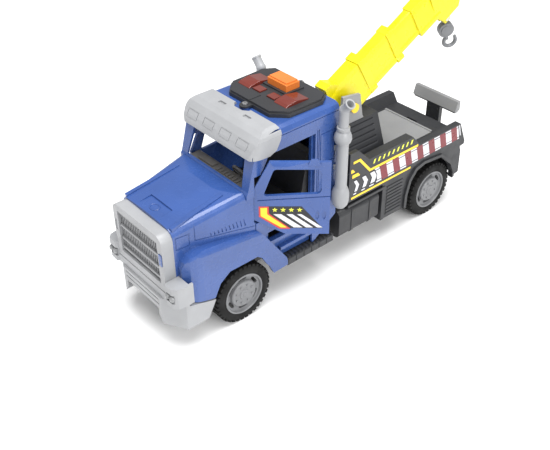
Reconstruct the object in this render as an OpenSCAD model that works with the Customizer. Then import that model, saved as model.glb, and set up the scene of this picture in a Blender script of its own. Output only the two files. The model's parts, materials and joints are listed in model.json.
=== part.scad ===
// Toy tow truck: a push-along plastic wrecker with a cab that opens, a telescoping
// boom with a swinging hook, a folding wheel lift and light-and-sound buttons.
// Frame: front faces -Y, the truck's left is +X, +Z is up. The origin lies on the
// ground midway between the axles. All sizes are in millimetres.

/* [Running gear] */
// Distance between the two axles
wheelbase = 226; // [220:1:230]
// Radius of a tyre over its tread
tyre_r = 27; // [25:0.5:27.5]
// Width of a tyre
tyre_w = 18; // [14:0.5:19]
// Distance from the centre plane to a tyre's outer face
wheel_face_x = 44; // [43:0.5:45]
// Outer radius of a wheel rim
rim_r = 18.6; // [16:0.2:20]
// Radius of a steel axle
axle_r = 2; // [1.5:0.1:2.4]

/* [Cab] */
// Half of the cab's width
cab_x = 42; // [41:0.5:42.5]
// Height of the roof above the ground
roof_z = 163; // [161:0.5:164]
// Wall thickness of the moulded shells
wall = 2.2; // [1.8:0.1:2.6]
// How far the left door stands open at rest, in degrees
door_open = 41.5; // [20:0.5:55]

/* [Bed] */
// Half of the bed's width
bed_x = 45; // [44:0.5:46]
// Height of the bed floor above the ground
floor_z = 78; // [76:0.5:79]

/* [Boom] */
// Angle of the boom above the horizontal at rest
boom_angle = 28.5; // [20:0.5:35]
// Distance of the lift pin behind the origin
pivot_y = 31; // [29:0.5:33]
// Height of the lift pin above the ground
pivot_z = 133; // [131:0.5:134]
// Side clearance between nested boom sections
nest_gap = 0.4; // [0.3:0.05:0.5]

/* [Wheel lift] */
// Distance of the fold pin behind the origin
lift_y = 160.6; // [160:0.2:161]
// Height of the fold pin above the ground
lift_z = 40; // [38:0.5:42]

/* [Roof controls] */
// Travel of a push button
press = 1.4; // [1:0.1:1.6]
// Gap round a push button
button_gap = 0.4; // [0.3:0.05:0.5]

/* [Hidden] */
$fn = 48;
eps = 0.02;
front_y = -wheelbase / 2;
rear_y = wheelbase / 2;
axle_z = tyre_r;
run = 0.06;             // radial running clearance of a shaft
roof_in = roof_z - wall;
hood_front_y = -168;
hood_front_z = 111;
hood_tilt = 9.5;
cowl_y = -119;
cowl_z = 118.7;
door_front_y = -97.2;
door_rear_y = -37.1;
door_hinge_x = 37;
door_hinge_y = -94.3;
door_pin_r = 1.2;
door_sweep_r = 6.5;     // room round the hinge for the door's front edge
door_x0 = 39.6;         // inner face of a closed door
bed_front_y = 0.5;
bed_rear_y = 146;
screw_r = 2.2;
board_z = 160.2;

// Axis-aligned block given by its two opposite corners
module block(x, y, z) {
    translate([x[0], y[0], z[0]]) cube([x[1] - x[0], y[1] - y[0], z[1] - z[0]]);
}
// Flat plate with round corners, drawn on the XY plane
module round_rect(w, h, r) {
    square([w - 2 * r, h], center = true);
    square([w, h - 2 * r], center = true);
    for (i = [-1, 1], j = [-1, 1])
        translate([i * (w / 2 - r), j * (h / 2 - r)]) circle(r);
}
// Outline given as (y, z) points, extruded across X from x0 to x1
module side_plate(x0, x1, points) {
    translate([x0, 0, 0]) rotate([90, 0, 90]) linear_extrude(x1 - x0) polygon(points);
}
// Outline given as (x, z) points, extruded along Y from y0 to y1
module front_plate(y0, y1, points) {
    translate([0, y1, 0]) rotate([90, 0, 0]) linear_extrude(y1 - y0) polygon(points);
}
// Cylinder lying along X
module x_rod(r, x0, x1) {
    translate([x0, 0, 0]) rotate([0, 90, 0]) cylinder(r = r, h = x1 - x0);
}
// Cylinder lying along Y
module y_rod(r, y0, y1) {
    translate([0, y1, 0]) rotate([90, 0, 0]) cylinder(r = r, h = y1 - y0);
}
// The children and their mirror image across the centre plane
module both_sides() {
    children();
    mirror([1, 0, 0]) children();
}
// Pan-head screw with a cross recess, head up, its seat at z = 0
module screw(r, length) {
    difference() {
        union() {
            cylinder(r = r, h = 1.1);
            translate([0, 0, -length]) cylinder(r = r * 0.5, h = length);
        }
        for (a = [0, 90]) rotate(a)
            translate([-r * 0.55, -0.25, 0.4]) cube([r * 1.1, 0.5, 1]);
    }
}

/* ---------- chassis ---------- */
chassis_x = 24;
batt_y = [20, 74];
screw_spots = [[0, -140], [-16, -60], [16, -60], [0, 6], [0, 88], [-14, 142], [14, 142]];

module chassis_frame() color("dimgray") difference() {
    union() {
        block([-chassis_x, chassis_x], [-150, 152], [33, 37]);
        both_sides() block([chassis_x - 3, chassis_x], [-150, 152], [33, 44]);
        for (y = [front_y, rear_y])
            both_sides() block([12, chassis_x], [y - 7, y + 7], [axle_z - 5, 33 + eps]);
        block([-20, 20], [batt_y[0] - 2, batt_y[1] + 2], [20, 33 + eps]);
        for (y = [-150, -46, 148]) block([-chassis_x, chassis_x], [y, y + 4], [33, 43]);
        both_sides() block([8.6, 13.6], [lift_y - 9, lift_y + 4.5], [33, 45]);
    }
    for (y = [front_y, rear_y])
        translate([0, y, axle_z]) x_rod(axle_r + run, -30, 30);
    block([-17, 17], batt_y, [18, 34.5]);
    block([-18.6, 18.6], [batt_y[0] - 0.6, batt_y[1] + 0.6], [18, 22.2]);
    translate([0, lift_y, lift_z]) x_rod(1.6, -20, 20);
    for (s = screw_spots) translate([s[0], s[1], 30]) {
        cylinder(r = 1.15, h = 20);
        cylinder(r = screw_r + 0.3, h = 4.2);
    }
}
module battery_cover() color("dimgray") difference() {
    union() {
        translate([0, (batt_y[0] + batt_y[1]) / 2, 20]) linear_extrude(1.8)
            round_rect(36.6, batt_y[1] - batt_y[0] + 0.6, 2);
        for (x = [-12 : 4 : 12]) block([x - 0.6, x + 0.6], [28, 66], [19.4, 20 + eps]);
    }
    translate([0, batt_y[1] - 3.4, 18]) cylinder(r = 1.3, h = 6);
}
module chassis_screws() color("silver") {
    for (s = screw_spots) translate([s[0], s[1], 34.2]) rotate([180, 0, 0]) screw(screw_r, 9);
    translate([0, batt_y[1] - 3.4, 19.9]) rotate([180, 0, 0]) screw(screw_r, 1.7);
}
cell_r = 5.2;
cell_x = [-11, 0, 11];
module batteries() color("gold") for (i = [0 : 2])
    translate([cell_x[i], 0, 27.6]) rotate([0, 0, i % 2 * 180])
        translate([0, i % 2 == 0 ? 0 : -94, 0]) {
            y_rod(cell_r, 25, 68);
            y_rod(1.9, 68 - eps, 69);
        }
module battery_contacts() color("lightgray") for (y = [batt_y[0] + 0.6, batt_y[1] - 1.2]) {
    for (x = cell_x) block([x - 4, x + 4], [y, y + 0.6], [23.5, 32.5]);
    if (y < 40) for (x = cell_x) for (k = [0 : 2])
        translate([x, y + 1 + k * 1.2, 27.6]) rotate([90, 0, 0])
            rotate_extrude() translate([3.4 - k * 0.7, 0]) circle(0.45, $fn = 16);
}

/* ---------- front ---------- */
bumper_plan = [
    [-45, -141], [-45, -169.6], [-26, -180], [26, -180], [45, -169.6], [45, -141],
    [42, -141], [42, -166], [-42, -166], [-42, -141]
];
pod_x = [32.9, 47];
module pod_plan() polygon([
    [pod_x[0], -166.2], [pod_x[0], -178], [35, -180], [42.6, -179.8], [46, -176.6],
    [pod_x[1], -172], [pod_x[1], -163], [45.2, -163], [45.2, -166.2]
]);
lens_spots = [[36, 58.8], [42, 58.8]];
module front_bumper() color("silver") difference() {
    union() {
        translate([0, 0, 24]) linear_extrude(26) polygon(bumper_plan);
        both_sides() translate([0, 0, 50 - eps]) linear_extrude(18.6) pod_plan();
        block([-33 - eps, 33 + eps], [-178.4, -168.6], [50 - eps, 57.4]);
        both_sides() block([20, 24], [-166 - eps, -150], [37.2, 44]);
    }
    block([-22, 22], [-190, -160], [20, 37.6]);
    both_sides() front_plate(-190, -150, [[22, 20], [30, 20], [22, 31]]);
    both_sides() block([33.4, 44.6], [-190, -178.4], [54.8, 62.8]);
    for (z = [41.6, 46.2]) block([-23, 23], [-190, -179.2], [z, z + 1]);
    both_sides() side_plate(30, 50, [
        [-149.3, 20], [-149.3, 24.2], [-141.8, 39], [-162, 45], [-166.1, 46.4],
        [-166.1, 50.2], [-140, 50.2], [-140, 20]
    ]);
}
module headlight_lenses() color("whitesmoke") both_sides()
    for (s = lens_spots) translate([s[0], 0, s[1]]) {
        y_rod(2.5, -179.4, -178.42);
        intersection() {
            translate([0, -178.2, 0]) sphere(3);
            y_rod(2.4, -183, -179.4 + eps);
        }
    }
shell_x = 32.6;
module grille_outline(grow) {
    translate([0, 83.2]) round_rect(2 * (shell_x + grow), 50.6 + 2 * grow, 7 + grow);
    translate([-(shell_x + grow), 58 - grow]) square([2 * (shell_x + grow), 12]);
}
module grille_shell() color("gainsboro") difference() {
    translate([0, hood_front_y, 0]) rotate([90, 0, 0]) linear_extrude(10) grille_outline(0);
    translate([0, -171, 0]) rotate([90, 0, 0]) linear_extrude(10) grille_outline(-6);
    both_sides() block([28.8, 31.4], [-180, -177.4], [83, 93]);
}
module grille_insert() color("darkgray") difference() {
    union() {
        translate([0, -171, 0]) rotate([90, 0, 0]) linear_extrude(1.6) grille_outline(-6.1);
        for (z = [67, 76.2, 88, 100]) block([-26.4, 26.4], [-177, -172], [z, z + 2.2]);
        for (x = [-24.6 : 2.46 : 24.7])
            block([x - 0.55, x + 0.55], [-175.6, -172], [64.2, 102.2]);
    }
}

/* Hood section: a shallow crown between flat sides */
crown_r = 300;
module hood_section(inset) {
    steps = 10;
    w = 46;
    polygon(concat(
        [for (i = [-steps : steps]) let (x = w * i / steps) [x, -x * x / (2 * crown_r) - inset]],
        [[w, -60], [-w, -60]]
    ));
}
// Cuts the edge that leaves point p at a pitch and a yaw, to a rounding of radius r
module edge_cut(p, pitch, yaw, r) {
    for (a = [24, 46, 68]) translate(p) rotate([pitch, 0, yaw]) rotate([0, a, 0])
        translate([0, 0, -r * (sin(a) + cos(a) - 1)]) block([-24, 24], [-30, 110], [0, 14]);
}
hood_yaw = -7.3;
module hood_volume(inset) difference() {
    intersection() {
        translate([0, hood_front_y, hood_front_z]) rotate([90 + hood_tilt, 0, 0])
            translate([0, 0, -90]) linear_extrude(100) hood_section(inset);
        translate([0, 0, 40]) linear_extrude(100) polygon([
            [-(32.6 - inset), hood_front_y], [32.6 - inset, hood_front_y],
            [41.5 - inset, -98], [-(41.5 - inset), -98]
        ]);
    }
    both_sides() edge_cut([32.6 - inset, hood_front_y, hood_front_z - 1.4 - inset],
                          hood_tilt - 0.6, hood_yaw, 6);
}
fender_side = [
    [-166.1, 52], [-166.1, 77], [-164, 83], [-160, 87], [-154.6, 89], [-147, 88.8],
    [-128, 86.4], [-97, 82], [-91.6, 75.5], [-83.5, 63.6], [-68.6, 42], [-67.5, 38],
    [-67.5, 34], [-82.5, 33], [-85, 37.5], [-94.6, 55], [-99.6, 58.8], [-127, 58.8],
    [-136.5, 52], [-142.2, 40.8], [-160, 45.4], [-163, 47]
];
fender_plan = [
    [28, -166.1], [37.5, -166.1], [42.6, -161.5], [44.4, -157], [bed_x, -152], [bed_x, -67],
    [28, -67]
];
module fender_volume(inset) difference() {
    intersection() {
        side_plate(28, bed_x - inset, fender_side);
        translate([0, 0, 20]) linear_extrude(90) polygon(fender_plan);
    }
    edge_cut([bed_x - inset, -154, 90 - inset], -7.2, 0, 5);
    edge_cut([bed_x - inset, -170, 78 - inset], 42, 0, 5);
}
module front_body() color("royalblue") {
    front_panels();
    // screw post under the hood
    translate([0, -140, 37.02]) difference() {
        cylinder(r = 4, h = 77);
        translate([0, 0, -1]) cylinder(r = 1.15, h = 10);
    }
}
module front_panels() difference() {
    union() {
        difference() {
            union() {
                hood_volume(0);
                // ribs along the hood's top
                both_sides() translate([29.4, -167, 110.6]) rotate([hood_tilt - 0.4, 0, 2])
                    block([-1.7, 1.7], [0, 49], [-2, 0.45]);
            }
            block([-60, 60], [cowl_y, -90], [cowl_z, 150]);
            // everything behind the windscreen's base belongs to the cab
            block([-60, 60], [-106.2, -97.9], [113.7, 150]);
        }
        both_sides() fender_volume(0);
    }
    difference() {
        hood_volume(wall);
        block([-60, 60], [cowl_y - 2, -90], [cowl_z - wall, 150]);
        block([-60, 60], [-108.4, -90], [113.5 - wall, 150]);
    }
    both_sides() intersection() {
        translate([0, 0, -2.4]) fender_volume(2.4);
        block([26, 60], [-160, -70], [30, 84]);
    }
    block([-36.8, 36.8], [-190, -60], [20, 60]);
    block([-26.2, 26.2], [-172, -160], [50, 100]);
    // wheel room, and room for the cab's lower sides
    both_sides() translate([0, front_y, axle_z]) x_rod(tyre_r + 3.2, 22, 60);
    side_plate(-(cab_x + 0.15), cab_x + 0.15, [
        [-97.75, 59.8], [-97.75, 113], [-60, 113], [-60, 40.3], [-66.1, 40.3]
    ]);
    // wedge-shaped badge recess at the front of the hood
    translate([0, -166.8, 110.9]) rotate([4.5, 0, 0]) block([-14, 14], [0, 13.2], [0, 6]);
    // side louvres, panel lines and the square access panel behind the grille
    both_sides() for (i = [0 : 9]) {
        y = -136.6 + i * 3.3;
        translate([hood_side_x(y), y, 93.8 - i * 0.34]) rotate([14, 0, 0])
            block([-0.7, 3], [-0.5, 0.5], [0, 2.4 + i * 0.46]);
    }
    both_sides() {
        hood_groove(-150.6, -149.8, 95.6, 120);
        hood_groove(-150.4, -98, 94.8, 95.6, -9);
        difference() {
            hood_groove(-166.4, -154.4, 92.4, 103.6);
            hood_groove(-165.4, -155.4, 93.4, 102.6);
        }
    }
    // door and sill room behind the fender
    both_sides() {
        translate([door_hinge_x, door_hinge_y, 89.6]) cylinder(r = door_sweep_r, h = 61.4);
        block([36, 60], [-98.4, -96], [91, 140]);
    }
}
// Half of the hood's width at a place along it
function hood_side_x(y) = 32.6 + (y - hood_front_y) * 8.9 / 70;
// Shallow groove in the hood's side between two places and two heights
module hood_groove(y0, y1, z0, z1, fall = 0)
    translate([hood_side_x(y0), y0, 0]) rotate([0, 0, hood_yaw])
        translate([0, 0, z0]) rotate([fall, 0, 0])
            block([-0.45, 4], [0, y1 - y0], [0, z1 - z0]);

/* ---------- cab ---------- */
cab_side = [
    [-97.6, 60], [-97.6, 113.9], [-106, 113.9], [-106, 117.8], [-104.6, 120],
    [-96.7, 149.4], [-76, roof_z], [-11.5, roof_z], [-11.5, 58], [-36, 40.5], [-66, 40.5]
];
cab_inside = [
    [-95.4, 40], [-95.4, 116.1], [-103.7, 116.1], [-103.7, 117.4], [-94.6, 148.2],
    [-75.2, roof_in], [-13.7, roof_in], [-13.7, 40]
];
door_hole = [
    [-97.9, 92], [-97.9, 115.4], [-83.2, 144.8], [-36.4, 144.8], [-36.4, 77.8],
    [-71.2, 77.8]
];
module cab_shell() color("royalblue") difference() {
    union() {
        difference() {
            intersection() {
                side_plate(-cab_x, cab_x, cab_side);
                front_plate(-130, 0, [
                    [-cab_x, 40], [cab_x, 40], [cab_x, roof_z - 5], [cab_x - 1.6, roof_z - 1.6],
                    [cab_x - 5, roof_z], [-(cab_x - 5), roof_z],
                    [-(cab_x - 1.6), roof_z - 1.6], [-cab_x, roof_z - 5]
                ]);
            }
            side_plate(-(cab_x - wall), cab_x - wall, cab_inside);
            // windscreen
            front_plate(-130, -90, [
                [-34.4, 119.6], [34.4, 119.6], [30.8, 149], [-30.8, 149]
            ]);
            both_sides() {
                translate([door_hinge_x, door_hinge_y, 88.2]) cylinder(r = door_sweep_r, h = 42.8);
                side_plate(cab_x - 8, cab_x + 5, door_hole);
                // room for the door's slanted front edge as it swings out
                side_plate(cab_x - 1.8, cab_x + 5, [
                    [-92.6, 129.5], [-92.4, 130.9], [-89.4, 135], [-86.2, 140.2],
                    [-84.6, 144], [-83, 144.7], [-88, 131], [-90, 129.5]
                ]);
                // the recess of the entry steps
                side_plate(cab_x - 4.6, cab_x + 5, [
                    [-88, 40], [-88, 74], [-38, 74], [-38, 40]
                ]);
            }
            // rear window
            translate([0, 0, 133]) rotate([90, 0, 0]) linear_extrude(40) round_rect(44, 15, 3);
            // opening in the roof for the sound unit
            block([-25.5, 25.5], [-59, -23], [150, 180]);
        }
        // lower body wall behind the entry steps, with two step rails
        both_sides() {
            difference() {
                side_plate(cab_x - 4.6 - wall, cab_x - 4.6, [
                    [-96, 60], [-96, 76], [-37, 76], [-37, 40.5], [-66, 40.5]
                ]);
                side_plate(cab_x - 9, cab_x, [[-82, 62], [-82, 72], [-44, 72], [-44, 62]]);
            }
            block([cab_x - 4.6 - eps, cab_x - 0.8], [-88.1, -37.9], [60, 63]);
            block([cab_x - 4.6 - eps, cab_x - 0.8], [-72, -37.9], [48.5, 51.5]);
            // hinge ears of the doors
            for (z = [95.5, 111]) translate([door_hinge_x, door_hinge_y, z])
                difference() {
                    union() {
                        cylinder(r = 2.2, h = 3);
                        translate([-9, -2.2, 0]) cube([9, 4.4, 3]);
                    }
                    translate([0, 0, -1]) cylinder(r = door_pin_r + run, h = 6);
                }
            // door stop inside the rear pillar
            block([cab_x - 5.6, cab_x - 2.8], [-38.2, -33], [80, 143]);
            block([cab_x - 2.8 - eps, cab_x - wall + eps], [-36.2, -33], [80, 143]);
        }
        // roof edge rails and front screw boss
        translate([0, -71.6, roof_z - eps]) cylinder(r = 3.4, h = 1.4);
    }
    translate([0, -71.6, roof_z - 8]) cylinder(r = 1.1, h = 12);
    translate([0, -14.2, roof_z - 8]) cylinder(r = 1.1, h = 12);
    // embossed panel lines on the rear quarter
    both_sides() difference() {
        block([cab_x - 0.5, cab_x + 1], [-31.4, -15], [114, 142]);
        block([cab_x - 1, cab_x + 1], [-30.4, -16], [115, 141]);
    }
    both_sides() for (y = [-34.6, -33]) block([cab_x - 0.6, cab_x + 1], [y, y + 0.8], [84, 147]);
    both_sides() block([cab_x - 0.5, cab_x + 1], [-72, -12], [156.2, 157]);
}
visor_side = [
    [-72.4, roof_z + 0.15], [-73.2, roof_z + 2.1], [-82.6, roof_z + 2.0],
    [-88.2, roof_z + 1.2], [-92.6, roof_z - 1.2], [-96.4, 157.8], [-99.4, 153.4],
    [-101.6, 148.8], [-102.2, 146.6], [-101.2, 145.8], [-92, 144.9], [-83.9, 144.4],
    [-77.4, 147], [-73.3, 154.4], [-72.2, 160]
];
visor_room = [
    [-60, roof_z + 0.1], [-77, roof_z + 0.1], [-87.6, 161.8], [-91.2, 159.8],
    [-94.6, 156.4], [-97.6, 152.2], [-99.6, 147.8], [-99.8, 140], [-60, 140]
];
visor_panels = [-31.4, -11.2, 9, 29.2];
module sun_visor() color("whitesmoke") difference() {
    intersection() {
        side_plate(-43.6, 43.6, visor_side);
        front_plate(-120, -60, [
            [-43.6, 140], [43.6, 140], [43.6, roof_z - 4], [42.8, roof_z - 1.4],
            [40.6, roof_z + 0.8], [37, roof_z + 2.2], [-37, roof_z + 2.2],
            [-40.6, roof_z + 0.8], [-42.8, roof_z - 1.4], [-43.6, roof_z - 4]
        ]);
        translate([0, 0, 130]) linear_extrude(60) polygon([
            [-43.6, -70], [-43.6, -93], [-43, -97.6], [-41.2, -100.6], [-38.2, -102.3],
            [38.2, -102.3], [41.2, -100.6], [43, -97.6], [43.6, -93], [43.6, -70]
        ]);
    }
    // room for the cab below, so that only a shell is left
    side_plate(-(cab_x + 0.1), cab_x + 0.1, visor_room);
    // notch round the screw boss, two slots and the embossed panels on the front
    translate([0, -71.6, roof_z - 1]) linear_extrude(8)
        polygon([[-9, 6], [-9, -3.4], [-4.6, -6.6], [4.6, -6.6], [9, -3.4], [9, 6]]);
    for (x = [-15, 15]) block([x - 3.8, x + 3.8], [-83.4, -80.2], [roof_z + 0.6, roof_z + 6]);
    for (x = visor_panels) translate([x, -98.9, 154]) rotate([58, 0, 0]) difference() {
        block([-6.4, 6.4], [-3.6, 3.6], [-0.4, 3]);
        block([-5.7, 5.7], [-2.9, 2.9], [-1, 3]);
    }
}

/* ---------- roof controls ---------- */
unit_top = 168;
unit_plan = [
    [-24, -68], [24, -68], [35, -57], [36, -24], [30, -15], [-30, -15], [-36, -24],
    [-35, -57]
];
unit_in = [
    [-23.2, -66], [23.2, -66], [33, -56.2], [34, -24.7], [29, -17], [-29, -17],
    [-34, -24.7], [-33, -56.2]
];
orange_x = 11.3;
orange_y = [-39.5, -25.5];
red_x = [4, 13];
red_y = [-53.4, -46];
lens_x = [14.6, 29];
lens_y = [-55.4, -32];
module roof_unit() color("dimgray") difference() {
    union() {
        translate([0, 0, roof_z]) linear_extrude(3.2) polygon(unit_plan);
        translate([0, 0, roof_z + 3.2 - eps]) linear_extrude(unit_top - roof_z - 3.2)
            polygon([for (p = unit_plan) [p[0] * 0.965, (p[1] + 41.5) * 0.965 - 41.5]]);
        translate([0, -71.6, roof_z + 1.5]) linear_extrude(1.6) circle(4.4);
        translate([0, -68.6, roof_z + 1.5]) linear_extrude(1.6) square([8.8, 6], center = true);
        translate([0, -14.2, roof_z]) cylinder(r = 3, h = 2.2);
        block([-orange_x - 2.4, orange_x + 2.4], [-42, -23], [unit_top - eps, unit_top + 1.4]);
    }
    translate([0, 0, roof_z - 1]) linear_extrude(unit_top - roof_z - 0.8) polygon(unit_in);
    translate([0, 0, 160]) {
        translate([0, -71.6, 0]) cylinder(r = 1.3, h = 20);
        translate([0, -14.2, 0]) cylinder(r = 1.3, h = 20);
        translate([0, -14.2, roof_z - 160 + 2.2]) cylinder(r = 2.5, h = 20);
    }
    block([-orange_x - button_gap, orange_x + button_gap],
          [orange_y[0] - button_gap, orange_y[1] + button_gap], [160, 180]);
    both_sides() {
        block([red_x[0] - button_gap, red_x[1] + button_gap],
              [red_y[0] - button_gap, red_y[1] + button_gap], [160, 180]);
        block([lens_x[0], lens_x[1]], [lens_y[0], lens_y[1]], [160, 180]);
        block([-0.6, 0.6], [-68, -56], [unit_top - 0.5, 180]);
    }
}
module roof_screws() color("silver") {
    translate([0, -71.6, roof_z + 3.1]) screw(2.1, 5);
    translate([0, -14.2, roof_z + 2.2]) screw(2.1, 3.6);
}
module sound_case() color("black") difference() {
    block([-25.2, 25.2], [-58.7, -23.3], [148.5, roof_z]);
    difference() {
        block([-23.6, 23.6], [-57.1, -24.9], [150.1, roof_z + 1]);
        for (x = [-21, 21], y = [-54, -28]) translate([x, y, 148.6])
            cylinder(r = 1.6, h = board_z - 1.62 - 148.6);
    }
    for (a = [0 : 60 : 300]) translate([-10 + 5 * cos(a), -41 + 5 * sin(a), 140])
        cylinder(r = 1.1, h = 20);
    translate([-10, -41, 140]) cylinder(r = 1.1, h = 20);
}
module circuit_board() color("green") {
    block([-23.4, 23.4], [-56.9, -25.1], [board_z - 1.6, board_z]);
    block([8, 16], [-34, -26], [board_z - 3, board_z - 1.6 + eps]);
    for (i = [0 : 2]) translate([-18 + i * 4, -52, board_z - 5.4]) cylinder(r = 1.4, h = 3.9);
}
module speaker() color("darkslategray") translate([-10, -41, 150.2]) {
    cylinder(r = 10, h = 2.4);
    translate([0, 0, 2.4 - eps]) cylinder(r = 5.4, h = 2.6);
}
module leds() color("red") both_sides() for (y = [-50, -38])
    translate([18.6, y, board_z + 0.02]) {
        cylinder(r = 1.5, h = 2);
        translate([0, 0, 2]) sphere(1.5);
    }
button_z = 164.9;        // foot of the push buttons at rest
switch_z = button_z - press - 0.3;
module tact_switches() color("dimgray") {
    for (s = [[0, -32.5], [8.5, -49.7], [-8.5, -49.7]]) translate([s[0], s[1], board_z + 0.02]) {
        translate([-2.4, -2.4, 0]) cube([4.8, 4.8, 1.6]);
        cylinder(r = 1.5, h = switch_z - board_z - 0.02);
    }
}
module button_body(x, y, top) {
    block([x[0], x[1]], [y[0], y[1]], [button_z, top]);
    block([x[0] - 1.1, x[1] + 1.1], [y[0] - 1.1, y[1] + 1.1], [button_z, button_z + 1]);
}
// The wide push button: a tall block with a bevelled crown and a hidden lip
module beacon_button() color("orangered") {
    button_body([-orange_x, orange_x], orange_y, 174.6);
    translate([0, (orange_y[0] + orange_y[1]) / 2, 174.6 - eps])
        linear_extrude(1.4) square([2 * orange_x - 2.4, orange_y[1] - orange_y[0] - 2.4], center = true);
}
module siren_button() color("firebrick") button_body(red_x, red_y, 169);
module horn_button() color("firebrick") mirror([1, 0, 0]) button_body(red_x, red_y, 169);
// Wedge-shaped lamp lens, set in its slot from above
module lamp_lens() {
    side_plate(lens_x[0] + 0.1, lens_x[1] - 0.1, [
        [lens_y[0] + 0.1, 164], [lens_y[1] - 0.1, 164], [lens_y[1] - 0.1, 168.6],
        [-44.4, 170.8], [-52.6, 169.6], [lens_y[0] + 0.1, 168.2]
    ]);
    block([lens_x[0] + 0.1, lens_x[1] - 0.1], [lens_y[0] - 1.4, lens_y[1] + 1.4], [164, 166.18]);
}
module light_lens_left() color("firebrick") lamp_lens();
module light_lens_right() color("firebrick") mirror([1, 0, 0]) lamp_lens();

/* ---------- exhaust stacks ---------- */
stack_x = 49.6;
stack_y = -14.1;
stack_section = [
    [0, 70.5], [4.4, 70.5], [6.4, 73.4], [7.3, 77.6], [7.3, 84], [6.2, 88], [4.9, 90.6],
    [4.9, 131], [6.4, 132.4], [7.3, 135.4], [6.9, 138.4], [5.5, 141.6], [4.8, 142.4],
    [5.3, 142.9], [5.3, 145.4], [4, 145.8], [4, 160.6], [0, 160.6]
];
module exhaust() translate([stack_x, stack_y, 0]) {
    rotate_extrude() polygon(stack_section);
    translate([0, 0, 160.4]) sphere(4.35);
    translate([0, 0, 160.4]) rotate([0, 40, 0]) difference() {
        union() {
            cylinder(r = 3.9, h = 9.6);
            translate([0, 0, 8.4]) cylinder(r = 4.3, h = 1.6);
        }
        translate([0, 0, 3]) cylinder(r = 3.1, h = 10);
    }
    for (z = [78, 104, 122]) translate([-7.58, -2, z]) cube([3.4, 4, 4]);
}
module exhaust_left() color("silver") exhaust();
module exhaust_right() color("silver") mirror([1, 0, 0]) exhaust();

/* ---------- doors ---------- */
door_outline = [
    [door_front_y, 92.8], [door_front_y, 115], [-82.6, 144], [door_rear_y, 144],
    [door_rear_y, 78.6], [-71, 78.6]
];
door_window = [
    [-85.4, 113.9], [-86.6, 114.6], [-87, 116.2], [-80.2, 135.4], [-79.2, 137], [-77.6, 137.6],
    [-46.6, 137.6], [-44.6, 136.8], [-43.9, 135], [-43.9, 119.4], [-44.7, 117.2], [-46.8, 116.1]
];
module door() difference() {
    union() {
        side_plate(door_x0, cab_x + 0.3, door_outline);
        side_plate(cab_x + 0.3 - eps, cab_x + 1.2, [
            [-54.4, 141.6], [-52, 147], [-47, 147], [-44.4, 141.6]
        ]);
        // hinge knuckle and its pin, which turns in the cab's two ears
        block([door_hinge_x - 2, door_x0 + eps], [door_hinge_y - 2, door_hinge_y + 2], [98.8, 110.7]);
        translate([door_hinge_x, door_hinge_y, 95.2]) cylinder(r = door_pin_r, h = 19.2);
    }
    side_plate(door_x0 - 4, cab_x + 5, door_window);
    // belt groove, handle recesses
    side_plate(cab_x - 0.3, cab_x + 5, [[-92, 109.4], [-92, 110.4], [-37, 114.4], [-37, 113.4]]);
    for (side = [-1, 1]) translate([0, -44 + side * 2.6, 96.2]) intersection() {
        translate([0, side * 5, 0]) x_rod(6.4, cab_x - 0.4, cab_x + 5);
        translate([0, -side * 5, 0]) x_rod(6.4, cab_x - 0.4, cab_x + 5);
    }
}
module door_left() color("royalblue")
    translate([door_hinge_x, door_hinge_y, 0]) rotate(-door_open)
        translate([-door_hinge_x, -door_hinge_y, 0]) door();
module door_right() color("royalblue") mirror([1, 0, 0]) door();

/* ---------- cab interior ---------- */
module dashboard() color("gray") {
    side_plate(-33.6, 33.6, [
        [-102.8, 116.3], [-102.8, 118.6], [-93.6, 119.4], [-91.6, 117.6], [-91.6, 114],
        [-95.2, 114], [-95.2, 116.3]
    ]);
    block([-26, 26], [-95.1, -93], [100, 115 + eps]);
    // raised instrument panel and vents
    block([-24, -6], [-101.4, -95.6], [118.4, 120.4]);
    for (x = [-2 : 4 : 22]) block([x, x + 2.4], [-101.6, -96.4], [118.4, 119.8]);
    // steering column and wheel, moulded on
    translate([15, -94.6, 115]) rotate([-62, 0, 0]) {
        translate([0, 0, 0.2]) cylinder(r = 1.8, h = 5.8);
        translate([0, 0, 6]) rotate_extrude() translate([8, 0]) circle(1.2, $fn = 20);
        for (a = [90, 210, 330]) rotate(a) translate([0, -1, 5.2]) cube([8, 2, 1.6]);
    }
}
seat_x = 35.1;
module cab_seat() color("black") {
    difference() {
        side_plate(-seat_x, seat_x, [
            [-66, 44], [-66, 84], [-46, 82], [-38, 124], [-31, 124], [-28, 82], [-28, 44]
        ]);
        side_plate(2 - seat_x, seat_x - 2, [
            [-64, 40], [-64, 82], [-44.4, 80], [-36.4, 122], [-32.8, 122], [-30, 82], [-30, 40]
        ]);
    }
    // screw posts down to the chassis
    for (x = [-16, 16]) translate([x, -60, 37.02]) difference() {
        cylinder(r = 3.5, h = 46);
        translate([0, 0, -1]) cylinder(r = 1.15, h = 10);
    }
}

/* ---------- steps and tanks ---------- */
module step() difference() {
    union() {
        block([chassis_x + eps, 44.4], [-67.2, -15], [32, 39.4]);
        for (y = [-66.4 : 8.6 : -22]) block([44.4 - eps, 45], [y, y + 7.8], [32.6, 38.8]);
        for (y = [-65.6 : 4 : -17]) block([37, 44], [y, y + 2], [39.4 - eps, 40.2]);
    }
    block([29, 42], [-64, -18], [30, 36.6]);
}
module step_left() color("dimgray") step();
module step_right() color("dimgray") mirror([1, 0, 0]) step();
module tank() {
    intersection() {
        translate([35, 0, 43.2]) rotate([90, 0, 0]) translate([0, 0, -40.2])
            linear_extrude(48.6) round_rect(19, 27, 5);
        block([20, 60], [-10, 50], [20, 56.8]);
    }
    for (y = [6, 28]) translate([35, y + 3, 43.2]) rotate([90, 0, 0]) linear_extrude(3)
        intersection() {
            round_rect(20.2, 28.2, 5.6);
            translate([-12, -20]) square([24, 33.4]);
        }
    block([chassis_x + eps, 26], [10, 24], [38, 43]);
}
module tank_left() color("dimgray") tank();
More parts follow.
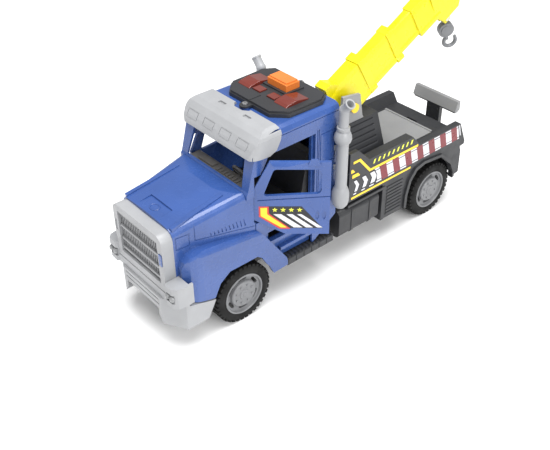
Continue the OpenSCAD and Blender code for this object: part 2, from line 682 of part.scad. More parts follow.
module tank_right() color("dimgray") mirror([1, 0, 0]) tank();

/* ---------- bed ---------- */
bed_wall = [
    [bed_front_y, 64], [bed_front_y, 112], [10, 112], [24, 98], [79, 98], [89, 86.4],
    [bed_rear_y, 86.4], [156, 64]
];
skirt = [
    [43.6, 25], [43.6, 64.2], [156, 64.2], [156, 61], [150, 60], [152, 55], [152.6, 31],
    [141.6, 29.4], [141.6, 36], [136.5, 47], [121, 61], [98, 63.2], [87.5, 60.4],
    [80.6, 52], [77, 38], [76.6, 24.4]
];
flare = [
    [73.6, 24.4], [73.6, 38.4], [77.6, 54], [85.6, 63.8], [97, 66.4], [122, 63.8],
    [138.8, 49], [144.2, 36.4], [144.2, 30], [141.6, 29.4], [141.6, 36],
    [136.5, 47], [121, 61], [98, 63.2], [87.5, 60.4], [80.6, 52], [77, 38], [76.6, 24.4]
];
module bed_body() color("dimgray") difference() {
    union() {
        both_sides() {
            side_plate(41, bed_x, bed_wall);
            side_plate(36, 41 + eps, [[24, 78], [24, 98], [79, 98], [89, 86.4], [89, 78]]);
            front_plate(88.9, bed_rear_y, [[41 + eps, 78], [41 + eps, 86.4], [38.6, 86.4], [33, 78]]);
            side_plate(bed_x - 3, bed_x - 0.4, skirt);
            side_plate(bed_x - 4, bed_x + 1.6, flare);
            // ledge under the stripes
            block([30, bed_x + 0.4], [bed_front_y, 44], [58.6, 61]);
            // frame posts of the louvred side panel
            block([34, bed_x + 0.2], [43.6, 47], [25, 61]);
            for (z = [28 : 3.6 : 58]) block([bed_x - 0.5, bed_x + 0.2], [50, 70], [z, z + 1.8]);
            block([24, bed_x - 3 + eps], [146, 152], [32, 60]);
        }
        block([-42, 42], [bed_front_y, bed_rear_y], [64, floor_z]);
        block([-42, 42], [bed_rear_y - eps, 152], [55, 64.2]);
        block([-42, 42], [bed_front_y, bed_front_y + 2.4], [floor_z - eps, 112]);
    }
    block([-39, 39], [bed_front_y + 2.4, bed_rear_y - 3], [60, floor_z - 2.4]);
    both_sides() translate([0, rear_y, axle_z]) x_rod(tyre_r + 4, 22, bed_x - 3.9);
    // deck plate recess with its catch slot
    block([-29.2, 29.2], [62.6, 125.6], [floor_z - 1.2, floor_z + 1]);
    block([-6, 6], [128, 131], [floor_z - 1.4, floor_z + 1]);
    // slots in the tail
    both_sides() for (z = [56.6, 59.6]) block([-50, 50], [151.4, 160], [z, z + 1]);
}
module deck_plate() color("darkgray") {
    block([-29, 29], [62.8, 125.4], [floor_z - 1.2, floor_z + 1.2]);
    block([-29, 29], [123.4, 125.4], [floor_z + 1.2 - eps, floor_z + 2.4]);
}

/* ---------- boom ---------- */
ped_top = 119;
ped_section = [
    [-28, floor_z], [28, floor_z], [28, 89], [17.2, ped_top], [-17.2, ped_top], [-28, 89]
];
module boom_pedestal() color("dimgray") difference() {
    front_plate(12, 61, ped_section);
    front_plate(14.4, 58.6, [
        [-25.6, floor_z - 1], [25.6, floor_z - 1], [25.6, 88], [15.4, ped_top - 2.4],
        [-15.4, ped_top - 2.4], [-25.6, 88]
    ]);
    // louvres on both slopes
    both_sides() for (i = [0 : 4])
        translate([25.4 - i * 1.8, 0, 96 + i * 5 - 0.5]) rotate([0, -70.2, 0])
            block([-0.6, 0.6], [18, 54], [-1, 1]);
}
bracket_x = [14.2, 16.8];
module bracket() difference() {
    side_plate(bracket_x[0], bracket_x[1], [
        [16, ped_top + eps], [18, 146.6], [38.4, 143.4], [42.4, 122], [44, ped_top + eps]
    ]);
    translate([0, pivot_y, pivot_z]) x_rod(3.02, 0, 30);
}
module boom_bracket_left() color("silver") bracket();
module boom_bracket_right() color("silver") mirror([1, 0, 0]) bracket();
module boom_pin() color("gold") translate([0, pivot_y, pivot_z]) {
    x_rod(3, -17.6, 17.6);
    both_sides() x_rod(4.2, 16.84, 19.2);
}
// Boom sections are drawn with the boom level along +Y from the lift pin at the origin
module at_boom() translate([0, pivot_y, pivot_z]) rotate([boom_angle, 0, 0]) children();
module boom_section(top, bottom, top_x, low_x, y0, y1) {
    front_plate(y0, y1, [
        [-low_x, bottom], [low_x, bottom], [low_x, bottom + 3.2], [low_x - 1.2, bottom + 4.4],
        [top_x + 0.8, top - 5], [top_x, top], [-top_x, top], [-top_x - 0.8, top - 5],
        [-(low_x - 1.2), bottom + 4.4], [-low_x, bottom + 3.2]
    ]);
}
base_end = 34;
mid_end = 71;
mid_start = 22;
tip_start = 52;
tip_end = 124;
module boom_base() color("yellow") at_boom() difference() {
    union() {
        intersection() {
            boom_section(21.6, -13.4, 6.4, 10, -14, base_end);
            union() {
                x_rod(13.4, -20, 20);
                side_plate(-20, 20, [
                    [0, -13.4], [base_end, -13.4], [base_end, 22], [3, 22], [-13.3, 14], [-13.4, 0]
                ]);
            }
        }
        side_plate(-6.4, 6.4, [[-13.4, 4], [-11.4, 28.6], [-5, 29], [2, 21.6], [4, 10]]);
        boom_section(22.6, -13.4, 7.6, 10.4, base_end - 8, base_end);
    }
    boom_section(19.2 + nest_gap, -12 - nest_gap, 5 + nest_gap, 8.4 + nest_gap, 4.8, base_end + 1);
    x_rod(3.06, -20, 20);
}
module boom_middle() color("yellow") at_boom() difference() {
    union() {
        boom_section(19.2, -12, 5, 8.4, mid_start, mid_end);
        boom_section(19.6, -13.2, 6, 9.6, mid_end - 8, mid_end);
    }
    boom_section(14.6 + nest_gap, -10.6 - nest_gap, 3.6 + nest_gap, 6.8 + nest_gap,
                 mid_start - 1, mid_end + 1);
}
head_outline = [
    [118, -13], [125.6, -24.2], [146, -23.6], [151, -17], [152.4, 0], [145, 12.6], [118, 14.6]
];
head_cavity = [
    [120, -9.4], [128, -20.6], [144.8, -20.6], [149, -15], [150, -1], [143.6, 10.4], [120, 12.2]
];
hook_along = 131.5;
hook_up = -26.6;
module boom_tip() color("yellow") at_boom() difference() {
    union() {
        boom_section(14.6, -10.6, 3.6, 6.8, tip_start, tip_end);
        boom_section(15.8, -13.2, 5, 8.6, 96, tip_end);
        side_plate(-7.4, 7.4, head_outline);
        // fork lug that carries the hook
        side_plate(-4.6, 4.6, [[125, -22], [128.4, -30.4], [134.6, -30.4], [137, -22]]);
    }
    boom_section(12.8, -9, 2, 5.2, tip_start - 1, 121);
    side_plate(-5.8, 5.8, head_cavity);
    side_plate(-2.2, 2.2, [[124, -32], [124, -18], [140, -18], [140, -32]]);
    translate([0, hook_along, hook_up]) x_rod(1.52, -20, 20);
}
// The link and the hook hang from a cross pin, a little off the vertical
hook_tilt = 24;
hook_y = pivot_y + hook_along * cos(boom_angle) - hook_up * sin(boom_angle);
hook_z = pivot_z + hook_along * sin(boom_angle) + hook_up * cos(boom_angle);
module at_hook() translate([0, hook_y, hook_z]) rotate([hook_tilt, 0, 0]) children();
module hook_pin() color("silver") at_hook() {
    x_rod(1.5, -5, 5);
    both_sides() x_rod(2.3, 4.62, 5.4);
}
module hook_link() color("dimgray") at_hook() difference() {
    union() {
        x_rod(3.1, -1.8, 1.8);
        block([-1.8, 1.8], [-1.8, 1.8], [-5.6, 0]);
        translate([0, 0, -9]) cylinder(r = 1.2, h = 5);
        translate([0, 0, -9.6]) cylinder(r = 2.2, h = 1.2);
    }
    x_rod(1.5 + run, -10, 10);
}
hook_turn = -30;
hook_bar = 1.8;
hook_bend = 5.6;
hook_tip_r = 1.6;
module hook() color("gray") at_hook() rotate(hook_turn) difference() {
    union() {
        // sheave block
        translate([0, 0, -14.4]) x_rod(7.3, -2.9, 2.9);
        translate([0, 0, -14.4]) both_sides() x_rod(5, 2.9 - eps, 3.5);
        // the hook itself: a round bar bent through three quarters of a turn
        translate([0, 1.4, -29.6]) {
            rotate([0, 90, 0]) rotate([0, 0, -160]) rotate_extrude(angle = 250)
                translate([hook_bend, 0]) circle(hook_bar, $fn = 24);
            translate([0, hook_bend, 0]) {
                translate([0, 0, -0.4]) cylinder(r = hook_tip_r, h = 3);
                translate([0, 0, 2.6]) sphere(hook_tip_r);
            }
        }
        translate([0, -1.2, -26]) cylinder(r = 2, h = 6);
    }
    translate([0, 0, -9.9]) cylinder(r = 1.5, h = 4);
    translate([0, 0, -9.9]) cylinder(r = 2.55, h = 1.9);
}

/* ---------- folding wheel lift ---------- */
module lift_post() color("dimgray") difference() {
    union() {
        block([-8, 8], [lift_y, lift_y + 4.6], [lift_z, 84.6]);
        translate([0, lift_y, lift_z]) x_rod(4.6, -8, 8);
        for (x = [-5, 5], z = [70, 80]) translate([x, lift_y, z]) y_rod(0.9, -0.5, 1);
    }
    translate([0, lift_y, lift_z]) x_rod(1.5 + run, -20, 20);
}
module lift_crossbar() color("darkgray") {
    side_plate(-26.4, 26.4, [
        [160.6, 84.7], [163.6, 94.6], [167.4, 94.6], [167.4, 84.7]
    ]);
    both_sides() block([8.1, 25.4], [161.6, 166.6], [82.8, 84.72]);
}
module lift_pin() color("silver") translate([0, lift_y, lift_z]) {
    x_rod(1.5, -14.6, 14.6);
    both_sides() x_rod(2.6, 13.64, 15);
}

/* ---------- wheels ---------- */
module tyre() {
    rotate([0, 90, 0]) rotate_extrude($fn = 96) polygon([
        [rim_r, -tyre_w / 2 + 0.6], [22, -tyre_w / 2], [25, -tyre_w / 2 + 0.8],
        [tyre_r - 1.3, -tyre_w / 2 + 2.6], [tyre_r - 1.3, tyre_w / 2 - 2.6],
        [25, tyre_w / 2 - 0.8], [22, tyre_w / 2], [rim_r, tyre_w / 2 - 0.6]
    ]);
    for (i = [0 : 35]) rotate([i * 10, 0, 0])
        block([-tyre_w / 2 + 1, -0.6], [-1.5, 1.5], [tyre_r - 2, tyre_r]);
    for (i = [0 : 35]) rotate([i * 10 + 5, 0, 0])
        block([0.6, tyre_w / 2 - 1], [-1.5, 1.5], [tyre_r - 2, tyre_r]);
}
rim_section = [
    [axle_r - 0.01, -6], [axle_r - 0.01, 6.2], [0, 6.2], [0, 10.1], [1.6, 10.1], [2.1, 9.4],
    [4.3, 9.4], [4.9, 8.6], [11.3, 8.6], [12, 7.9], [12.3, 5.8], [15.8, 6.4], [16.7, 7],
    [17.3, 8.8], [rim_r - 0.04, 8.8], [rim_r - 0.04, -7.6], [16.2, -7.6], [15.4, 3.6],
    [12.8, 3.8], [11, 5.6], [5.4, 5.6], [5, -6]
];
module rim() difference() {
    union() {
        rotate([0, 90, 0]) rotate_extrude($fn = 96) polygon(rim_section);
        for (i = [0 : 7]) rotate([i * 45 + 22.5, 0, 0]) translate([0, 0, 8.4])
            x_rod(0.95, 8, 9.5);
    }
    for (i = [0 : 5]) rotate([i * 60, 0, 0]) translate([0, 0, 14]) {
        for (side = [-1, 1]) translate([0, side * 2.9, -0.3]) x_rod(1.45, -10, 12);
        block([-10, 12], [-2.9, 2.9], [-1.5, 1.25]);
    }
}
module wheel_at(y, side) translate([side * (wheel_face_x - tyre_w / 2), y, axle_z])
    rotate([0, 0, side > 0 ? 0 : 180]) children();
module axle(y) color("silver") translate([0, y, axle_z]) x_rod(axle_r, -40.6, 40.6);
module front_axle() axle(front_y);
module rear_axle() axle(rear_y);
module tyre_front_left() color("black") wheel_at(front_y, 1) tyre();
module tyre_front_right() color("black") wheel_at(front_y, -1) tyre();
module tyre_rear_left() color("black") wheel_at(rear_y, 1) tyre();
module tyre_rear_right() color("black") wheel_at(rear_y, -1) tyre();
module rim_front_left() color("silver") wheel_at(front_y, 1) rim();
module rim_front_right() color("silver") wheel_at(front_y, -1) rim();
module rim_rear_left() color("silver") wheel_at(rear_y, 1) rim();
module rim_rear_right() color("silver") wheel_at(rear_y, -1) rim();

chassis_frame();
battery_cover();
chassis_screws();
batteries();
battery_contacts();
front_bumper();
grille_shell();
grille_insert();
headlight_lenses();
front_body();
cab_shell();
sun_visor();
roof_screws();
roof_unit();
sound_case();
circuit_board();
speaker();
leds();
tact_switches();
beacon_button();
siren_button();
horn_button();
light_lens_left();
light_lens_right();
exhaust_left();
exhaust_right();
door_left();
door_right();
dashboard();
cab_seat();
step_left();
step_right();
tank_left();
tank_right();
bed_body();
deck_plate();
boom_pedestal();
boom_bracket_left();
boom_bracket_right();
boom_pin();
boom_base();
boom_middle();
boom_tip();
hook_pin();
hook_link();
hook();
lift_post();
lift_crossbar();
lift_pin();
front_axle();
rear_axle();
tyre_front_left();
tyre_front_right();
tyre_rear_left();
tyre_rear_right();
rim_front_left();
rim_front_right();
rim_rear_left();
rim_rear_right();
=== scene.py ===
"""Looks of a toy tow truck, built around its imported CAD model.

Everything is in metres, in the model's own frame: the truck's front faces -Y, its left
side is +X, +Z is up, and the origin lies on the ground midway between the axles.
"""
import json
import math

import bmesh
import bpy
from mathutils import Matrix, Vector


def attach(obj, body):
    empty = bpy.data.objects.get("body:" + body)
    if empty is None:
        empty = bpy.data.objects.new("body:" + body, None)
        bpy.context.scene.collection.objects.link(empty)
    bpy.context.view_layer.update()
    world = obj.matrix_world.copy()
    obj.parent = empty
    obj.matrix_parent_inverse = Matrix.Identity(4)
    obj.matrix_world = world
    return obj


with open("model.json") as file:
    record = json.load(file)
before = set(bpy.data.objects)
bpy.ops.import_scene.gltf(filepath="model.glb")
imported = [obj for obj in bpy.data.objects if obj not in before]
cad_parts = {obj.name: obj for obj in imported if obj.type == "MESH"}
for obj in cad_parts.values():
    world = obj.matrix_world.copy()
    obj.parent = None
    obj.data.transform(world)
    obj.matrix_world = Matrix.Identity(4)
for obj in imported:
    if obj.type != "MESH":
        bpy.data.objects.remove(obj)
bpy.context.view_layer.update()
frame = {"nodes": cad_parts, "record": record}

MM = 0.001
NODES = frame["nodes"]


# ---------------------------------------------------------------- camera and light

CAMERA_AT = Vector((0.4376, -0.4156, 0.4634))
CAMERA_AZIMUTH = math.radians(49.571)
CAMERA_ELEVATION = math.radians(36.55)
CAMERA_ROLL = math.radians(-0.62)
CAMERA_LENS = 53.60


def add_camera():
    """A camera at the photograph's angle, turned by azimuth, elevation and a slight roll."""
    az, el, roll = CAMERA_AZIMUTH, CAMERA_ELEVATION, CAMERA_ROLL
    back = Vector((math.sin(az) * math.cos(el), -math.cos(az) * math.cos(el), math.sin(el)))
    right = Vector((math.cos(az), math.sin(az), 0))
    up = back.cross(right)
    turned_right = right * math.cos(roll) + up * math.sin(roll)
    turned_up = up * math.cos(roll) - right * math.sin(roll)
    data = bpy.data.cameras.new("camera")
    data.lens = CAMERA_LENS
    data.sensor_width = 36.0
    data.clip_start, data.clip_end = 0.01, 20.0
    camera = bpy.data.objects.new("camera", data)
    rows = Matrix((turned_right, turned_up, back)).transposed().to_4x4()
    camera.matrix_world = Matrix.Translation(CAMERA_AT) @ rows
    bpy.context.scene.collection.objects.link(camera)
    bpy.context.scene.camera = camera


def add_area_light(name, place, target, size, power):
    data = bpy.data.lights.new(name, "AREA")
    data.shape = "RECTANGLE"
    data.size, data.size_y = size
    data.energy = power
    light = bpy.data.objects.new(name, data)
    aim = (Vector(target) - Vector(place)).to_track_quat("-Z", "Y")
    light.matrix_world = Matrix.Translation(place) @ aim.to_matrix().to_4x4()
    bpy.context.scene.collection.objects.link(light)


def add_studio():
    """Soft boxes above, to the left and in front, a pale world and a pale floor."""
    add_area_light("top_box", (0.15, -0.1, 1.3), (0, 0, 0.08), (1.0, 1.0), 24)
    add_area_light("left_box", (1.25, -0.25, 0.75), (0, 0, 0.08), (0.8, 0.6), 12)
    add_area_light("front_box", (-0.25, -1.3, 0.6), (0, -0.05, 0.08), (1.0, 0.6), 3)
    world = bpy.data.worlds.new("studio")
    world.use_nodes = True
    background = world.node_tree.nodes["Background"]
    background.inputs["Color"].default_value = (1.0, 1.0, 1.0, 1)
    background.inputs["Strength"].default_value = 0.5
    bpy.context.scene.world = world
    bpy.context.scene.view_settings.view_transform = "Standard"

    half = 4.0
    mesh = bpy.data.meshes.new("floor")
    corners = [(-half, -half, 0), (half, -half, 0), (half, half, 0), (-half, half, 0)]
    mesh.from_pydata(corners, [], [(0, 1, 2, 3)])
    floor = bpy.data.objects.new("floor", mesh)
    bpy.context.scene.collection.objects.link(floor)
    material = bpy.data.materials.new("floor_white")
    material.use_nodes = True
    shader = material.node_tree.nodes["Principled BSDF"]
    shader.inputs["Base Color"].default_value = (0.92, 0.92, 0.92, 1)
    shader.inputs["Roughness"].default_value = 0.9
    mesh.materials.append(material)


# ---------------------------------------------------------------- materials


class Graph:
    """Adds and joins the shader nodes of one material."""

    def __init__(self, name):
        self.material = bpy.data.materials.new(name)
        self.material.use_nodes = True
        self.tree = self.material.node_tree
        self.shader = self.tree.nodes["Principled BSDF"]
        self.place = self.add("ShaderNodeTexCoord").outputs["Object"]

    def add(self, kind, **settings):
        node = self.tree.nodes.new(kind)
        for key, value in settings.items():
            setattr(node, key, value)
        return node

    def link(self, source, target):
        self.tree.links.new(source, target)

    def noise(self, scale, detail=2.0):
        node = self.add("ShaderNodeTexNoise")
        node.inputs["Scale"].default_value = scale
        node.inputs["Detail"].default_value = detail
        self.link(self.place, node.inputs["Vector"])
        return node.outputs["Fac"]

    def ramp(self, value, low, high, start=0.3, end=0.7):
        node = self.add("ShaderNodeMapRange")
        node.inputs["From Min"].default_value = start
        node.inputs["From Max"].default_value = end
        node.inputs["To Min"].default_value = low
        node.inputs["To Max"].default_value = high
        self.link(value, node.inputs["Value"])
        return node.outputs["Result"]

    def blend(self, factor, one, two):
        node = self.add("ShaderNodeMix", data_type="RGBA")
        for key, colour in (("A", one), ("B", two)):
            socket = next(s for s in node.inputs if s.name == key and s.type == "RGBA")
            socket.default_value = (*colour, 1)
        self.link(factor, node.inputs["Factor"])
        return next(s for s in node.outputs if s.type == "RGBA")

    def bump(self, height, distance, strength=1.0):
        node = self.add("ShaderNodeBump")
        node.inputs["Strength"].default_value = strength
        node.inputs["Distance"].default_value = distance
        self.link(height, node.inputs["Height"])
        self.link(node.outputs["Normal"], self.shader.inputs["Normal"])


def shade(colour, factor):
    return tuple(min(1.0, c * factor) for c in colour)


def plastic(name, colour, roughness, grain=0.00002, grain_scale=1800, vary=0.08, coat=0.0,
            shine=0.5):
    """Moulded plastic: faint flow marks in the colour, uneven gloss and a fine mould grain."""
    g = Graph(name)
    flow = g.noise(35, 3)
    g.link(g.blend(g.ramp(flow, 0, 1), shade(colour, 1 - vary), shade(colour, 1 + vary)),
           g.shader.inputs["Base Color"])
    g.link(g.ramp(g.noise(120, 2), roughness * 0.85, roughness * 1.2),
           g.shader.inputs["Roughness"])
    g.bump(g.noise(grain_scale, 1), grain)
    g.shader.inputs["Specular IOR Level"].default_value = shine
    g.shader.inputs["Coat Weight"].default_value = coat
    g.shader.inputs["Coat Roughness"].default_value = 0.12
    return g.material


def metal(name, colour, roughness):
    """Plated steel with fine drawn lines."""
    g = Graph(name)
    g.shader.inputs["Metallic"].default_value = 1.0
    g.link(g.blend(g.ramp(g.noise(300, 3), 0, 1), shade(colour, 0.85), shade(colour, 1.1)),
           g.shader.inputs["Base Color"])
    g.link(g.ramp(g.noise(700, 2), roughness * 0.7, roughness * 1.4),
           g.shader.inputs["Roughness"])
    g.bump(g.noise(900, 2), 0.00003)
    return g.material


def make_materials():
    return {
        "blue": plastic("blue_plastic", (0.03, 0.074, 0.25), 0.26, 0.000006, coat=0.25),
        "silver": plastic("silver_plastic", (0.29, 0.295, 0.305), 0.38, 0.00002),
        "grille": plastic("grille_plastic", (0.22, 0.223, 0.232), 0.4, 0.00002),
        "lamp": plastic("lamp_lens", (0.2, 0.205, 0.21), 0.12, 0.000004, coat=0.5),
        "dark_grey": plastic("dark_plastic", (0.026, 0.027, 0.03), 0.42, 0.00004,
                             shine=0.4),
        "light_grey": plastic("grey_plastic", (0.24, 0.242, 0.246), 0.45, 0.00003),
        "yellow": plastic("yellow_plastic", (0.68, 0.59, 0.005), 0.3, 0.00001, vary=0.04),
        "pin_yellow": plastic("pin_plastic", (0.8, 0.55, 0.01), 0.3, 0.00001),
        "orange": plastic("orange_plastic", (0.64, 0.17, 0.03), 0.28, 0.000008),
        "red": plastic("red_plastic", (0.13, 0.02, 0.013), 0.2, 0.000006, coat=0.4),
        "led_red": plastic("led_plastic", (0.6, 0.02, 0.02), 0.15),
        "black": plastic("black_plastic", (0.012, 0.012, 0.013), 0.5, 0.00004),
        "board": plastic("board_green", (0.015, 0.12, 0.04), 0.4),
        "cell": plastic("cell_wrap", (0.3, 0.3, 0.31), 0.3),
        "steel": metal("plated_steel", (0.62, 0.62, 0.63), 0.3),
        "hook_grey": plastic("hook_plastic", (0.17, 0.175, 0.185), 0.4, 0.00002),
        "rubber": plastic("tyre_rubber", (0.009, 0.009, 0.009), 0.7, 0.00008, 900, shine=0.2),
        "dash": plastic("dash_plastic", (0.09, 0.085, 0.08), 0.4, 0.00003),
        "rim": plastic("rim_plastic", (0.16, 0.163, 0.17), 0.36, 0.00002),
    }


OWN_MATERIAL = {"dashboard": "dash"}    # looks that differ from the record's slot
EDGE = {"front_body": 0.8, "cab_shell": 0.8, "sun_visor": 0.9, "front_bumper": 1.0}
PLAIN_EDGE = 0.4
SHARP_ANGLE = math.radians(32)


def dress_cad(materials):
    """Gives each CAD node its material and soft moulded edges."""
    slots = {s["node"]: s["material_slot"] for s in frame["record"]["subparts"]}
    for name, node in NODES.items():
        node.data.materials.clear()
        node.data.materials.append(materials[OWN_MATERIAL.get(name, slots[name])])
        weld = node.modifiers.new("weld", "WELD")
        weld.merge_threshold = 0.00001
        bevel = node.modifiers.new("soft_edges", "BEVEL")
        bevel.width = EDGE.get(name, PLAIN_EDGE) * MM
        bevel.segments = 2
        bevel.limit_method = "ANGLE"
        bevel.angle_limit = SHARP_ANGLE
        bevel.harden_normals = False
        bevel.use_clamp_overlap = True




# ---------------------------------------------------------------- mesh helpers


def new_piece(name, bm, materials, body, edge=0.0):
    """Turns a bmesh into a piece with its materials, riding on a CAD body."""
    bmesh.ops.recalc_face_normals(bm, faces=bm.faces)
    mesh = bpy.data.meshes.new(name)
    bm.to_mesh(mesh)
    bm.free()
    piece = bpy.data.objects.new(name, mesh)
    bpy.context.scene.collection.objects.link(piece)
    for material in materials:
        mesh.materials.append(material)
    if edge:
        bevel = piece.modifiers.new("soft_edges", "BEVEL")
        bevel.width = edge * MM
        bevel.segments = 2
        bevel.angle_limit = SHARP_ANGLE
    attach(piece, body)
    return piece


def add_prism(bm, outline, place, low, high, index=0):
    """A closed prism: the flat outline's points go through place(u, v, height)."""
    rings = [[bm.verts.new(place(u, v, h) * MM) for u, v in outline] for h in (low, high)]
    faces = [bm.faces.new(ring) for ring in rings]
    count = len(outline)
    for i in range(count):
        j = (i + 1) % count
        faces.append(bm.faces.new((rings[0][i], rings[0][j], rings[1][j], rings[1][i])))
    for face in faces:
        face.material_index = index


def thick_line(points, width):
    """The outline of a flat line of even width through the points, with mitred corners."""
    left, right = [], []
    for i, (x, y) in enumerate(points):
        ahead = Vector(points[min(i + 1, len(points) - 1)]) - Vector((x, y))
        behind = Vector((x, y)) - Vector(points[max(i - 1, 0)])
        ahead = ahead.normalized() if ahead.length else behind.normalized()
        behind = behind.normalized() if behind.length else ahead
        along = (ahead + behind).normalized()
        side = Vector((-along.y, along.x)) * (width / 2 / max(0.4, along.dot(ahead)))
        left.append((x + side.x, y + side.y))
        right.append((x - side.x, y - side.y))
    return left + right[::-1]


def star(x, y, radius):
    """A five-pointed star's outline, one point up."""
    points = []
    for i in range(10):
        reach = radius if i % 2 == 0 else radius * 0.42
        angle = math.radians(90 + 36 * i)
        points.append((x + reach * math.cos(angle), y + reach * math.sin(angle)))
    return points


# ---------------------------------------------------------------- printed stickers

PRINT_COLOURS = {
    "yellow": (0.9, 0.6, 0.02), "lime": (0.7, 0.72, 0.05), "red": (0.17, 0.01, 0.018),
    "edge_red": (0.55, 0.03, 0.02), "white": (0.62, 0.62, 0.65), "black": (0.006, 0.006, 0.008),
}
STICKER_LIFT = 0.1
LAYER_STEP = 0.05


def print_materials():
    return {k: plastic(f"print_{k}", c, 0.3, 0.000003, vary=0.05)
            for k, c in PRINT_COLOURS.items()}


def sticker(name, shapes, place, body):
    """Flat printed shapes: a list of (colour, layer, outline) laid on a surface."""
    colours = sorted({colour for colour, _, _ in shapes})
    bm = bmesh.new()
    for colour, layer, outline in shapes:
        top = STICKER_LIFT + layer * LAYER_STEP
        add_prism(bm, outline, place, -0.05, top, colours.index(colour))
    return new_piece(name, bm, [PRINTS[c] for c in colours], body)


def slanted(start, width, low, high, lean):
    """A block between two heights whose sides lean forward by lean at the top."""
    return [(start, low), (start + width, low), (start + width - lean, high),
            (start - lean, high)]


BED_FACE_X = 45.0
BAND_LOW, BAND_HIGH = 70.2, 85.2
BLOCK_PITCH = 15.75
FIRST_BLOCK_Y = 41.4
RED_WIDTH = 8.0
BLOCK_LEAN = 3.9
EDGE_STRIPE = 1.5
WHITE_LOW, WHITE_HIGH = 72.6, 82.8
SLASH_PITCH = 5.9


def striped_block(start, width):
    """White shapes between two red blocks: an edge stripe below, a block, one above."""
    return [
        ("white", 0, slanted(start, width, BAND_LOW, BAND_LOW + EDGE_STRIPE, 0.3)),
        ("white", 0, slanted(start - 0.6, width, WHITE_LOW, WHITE_HIGH, BLOCK_LEAN * 0.68)),
        ("white", 0, slanted(start - BLOCK_LEAN + 0.3, width, BAND_HIGH - EDGE_STRIPE,
                             BAND_HIGH, 0.3))]


def chevron(start, width, grow):
    """A pointing chevron's outline, grown all round for its border."""
    tip_z, low, high = 78.0, 72.4, 83.4
    return [
        (start - grow, low - grow), (start + width + grow, low - grow),
        (start + width + 2.2 + grow, tip_z), (start + width - 1.2 + grow, high + grow),
        (start - 1.2 - grow, high + grow), (start + 1.8 - grow, tip_z)]


def bed_shapes():
    """Long yellow lines, a row of slashes, chevrons and a band of leaning blocks."""
    shapes = []
    for i in range(7):
        start = FIRST_BLOCK_Y + i * BLOCK_PITCH
        shapes.append(("red", 0, slanted(start, RED_WIDTH, BAND_LOW, BAND_HIGH, BLOCK_LEAN)))
        width = BLOCK_PITCH - RED_WIDTH if i < 6 else 2.4
        shapes += striped_block(start + RED_WIDTH, width)
    shapes.append(("white", 0, slanted(146.9, 1.4, BAND_LOW + 3, BAND_HIGH, 3.3)))
    # lead-in chevrons ahead of the blocks
    for i, width in enumerate((3.2, 4.2, 5.2)):
        start = 7.4 + i * 9.7
        shapes.append(("black", 0, chevron(start, width, 0.9)))
        shapes.append(("white", 1, chevron(start, width, 0.0)))
        shapes.append(("white", 1, slanted(start - 1.0, width, BAND_LOW - 0.6,
                                           BAND_LOW + 0.6, 0)))
    shapes.append(("white", 0, slanted(35.4, 5.2, WHITE_LOW, WHITE_HIGH, BLOCK_LEAN * 0.68)))
    shapes.append(("white", 0, slanted(34.4, 6.6, BAND_LOW, BAND_LOW + EDGE_STRIPE, 0.3)))
    shapes.append(("white", 0, slanted(31.6, 5.6, BAND_HIGH - EDGE_STRIPE, BAND_HIGH, 0.3)))
    # the long yellow lines and the row of slashes
    upper = [(4.5, 102.2), (12.2, 102.2), (25.2, 86.9), (86.5, 86.9)]
    shapes.append(("yellow", 1, thick_line(upper, 2.3)))
    shapes.append(("yellow", 1, thick_line([(4.0, 66.8), (79.0, 66.8)], 1.9)))
    for i in range(9):
        start = 28.6 + i * SLASH_PITCH
        shapes.append(("lime", 0, slanted(start, 1.9, 91.6, 95.6, -1.5)))
    for start, width, low in ((4.0, 9.4, 87.0), (2.4, 4.6, 92.6)):
        shapes.append(("yellow", 0, [(start, low), (start + width, low),
                                     (start + width - 2.8, low + 3.4), (start, low + 3.4)]))
    return shapes


DOOR_FACE_X = 42.3


def door_shapes():
    """A black panel with a yellow corner flash, a row of stars and three white slashes."""
    shapes = [("black", 0, [(-84.5, 104.6), (-58.6, 104.6), (-42.2, 84.2), (-74.4, 84.2),
                            (-84.5, 95.6)]),
              ("edge_red", 1, [(-91.2, 104.4), (-83.6, 104.4), (-83.6, 98), (-67.0, 83.6),
                               (-75.4, 83.6), (-91.2, 95.0)]),
              ("yellow", 2, [(-89.9, 103.2), (-84.9, 103.4), (-84.9, 97.4), (-69.8, 84.9),
                             (-74.4, 84.9), (-89.9, 95.7)])]
    for i in range(4):
        shapes.append(("lime", 2, star(-79.0 + i * 6.3, 101.4, 2.2)))
    for top, low, width in ((-80.2, -64.4, 6.6), (-70.2, -54.9, 5.2), (-62.0, -46.4, 4.0)):
        shapes.append(("white", 2, [(low, 84.9), (low + width, 84.9), (top + width - 0.6, 97.4),
                                    (top, 97.4)]))
    return shapes


DOOR_HINGE = Vector((37.0, -94.3, 0))
DOOR_OPEN = math.radians(-41.5)


def side_place(face_x, side=1):
    """Maps (y, z, height) on a side wall to a point; side -1 is the right-hand side."""
    return lambda u, v, h: Vector((side * (face_x + h), u, v))


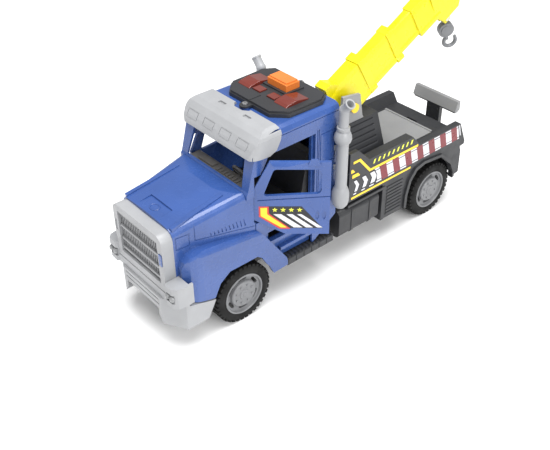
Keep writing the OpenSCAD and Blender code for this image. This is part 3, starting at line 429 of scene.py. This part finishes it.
def open_door_place(u, v, h):
    """The same on the left door, which stands open."""
    closed = Vector((DOOR_FACE_X + h, u, v)) - DOOR_HINGE
    return DOOR_HINGE + Matrix.Rotation(DOOR_OPEN, 3, "Z") @ closed


def add_stickers():
    for side, word in ((1, "left"), (-1, "right")):
        sticker(f"bed_stickers_{word}", bed_shapes(), side_place(BED_FACE_X, side), "truck")
    sticker("door_sticker_left", door_shapes(), open_door_place, "door_left")
    sticker("door_sticker_right", door_shapes(), side_place(DOOR_FACE_X, -1), "door_right")


# ---------------------------------------------------------------- small fitted pieces


def ring_piece(name, centre, radii, tube, tilt, material, body):
    """A plain raised oval ring lying on a surface that rises towards the rear by tilt."""
    around, across = 48, 10
    turn = Matrix.Rotation(tilt, 3, "X")
    bm = bmesh.new()
    loops = []
    for i in range(around):
        a = 2 * math.pi * i / around
        spoke = Vector((math.cos(a), math.sin(a), 0))
        base = Vector((radii[0] * spoke.x, radii[1] * spoke.y, 0))
        loop = []
        for j in range(across):
            b = 2 * math.pi * j / across
            point = base + spoke * (tube * math.cos(b)) + Vector((0, 0, tube * 0.8 * math.sin(b)))
            loop.append(bm.verts.new((Vector(centre) + turn @ point) * MM))
        loops.append(loop)
    for i in range(around):
        one, two = loops[i], loops[(i + 1) % around]
        for j in range(across):
            k = (j + 1) % across
            face = bm.faces.new((one[j], two[j], two[k], one[k]))
            face.smooth = True
    return new_piece(name, bm, [material], body)


def add_badges():
    """Plain pieces where the toy carries badges: an oval on the hood, a plate on the grille."""
    ring_piece("hood_badge_ring", (0, -160.2, 111.5), (4.4, 3.4), 0.6, math.radians(4.5),
               MATERIALS["blue"], "truck")
    bm = bmesh.new()
    outline = [(28.0, 82.8), (31.7, 82.8), (31.7, 93.2), (28.0, 93.2)]
    add_prism(bm, outline, lambda u, v, h: Vector((u, -177.9 - h, v)), 0, 0.8)
    new_piece("grille_badge_plate", bm, [MATERIALS["blue"]], "truck", 0.25)


add_camera()
add_studio()
MATERIALS = make_materials()
PRINTS = print_materials()
dress_cad(MATERIALS)
add_stickers()
add_badges()
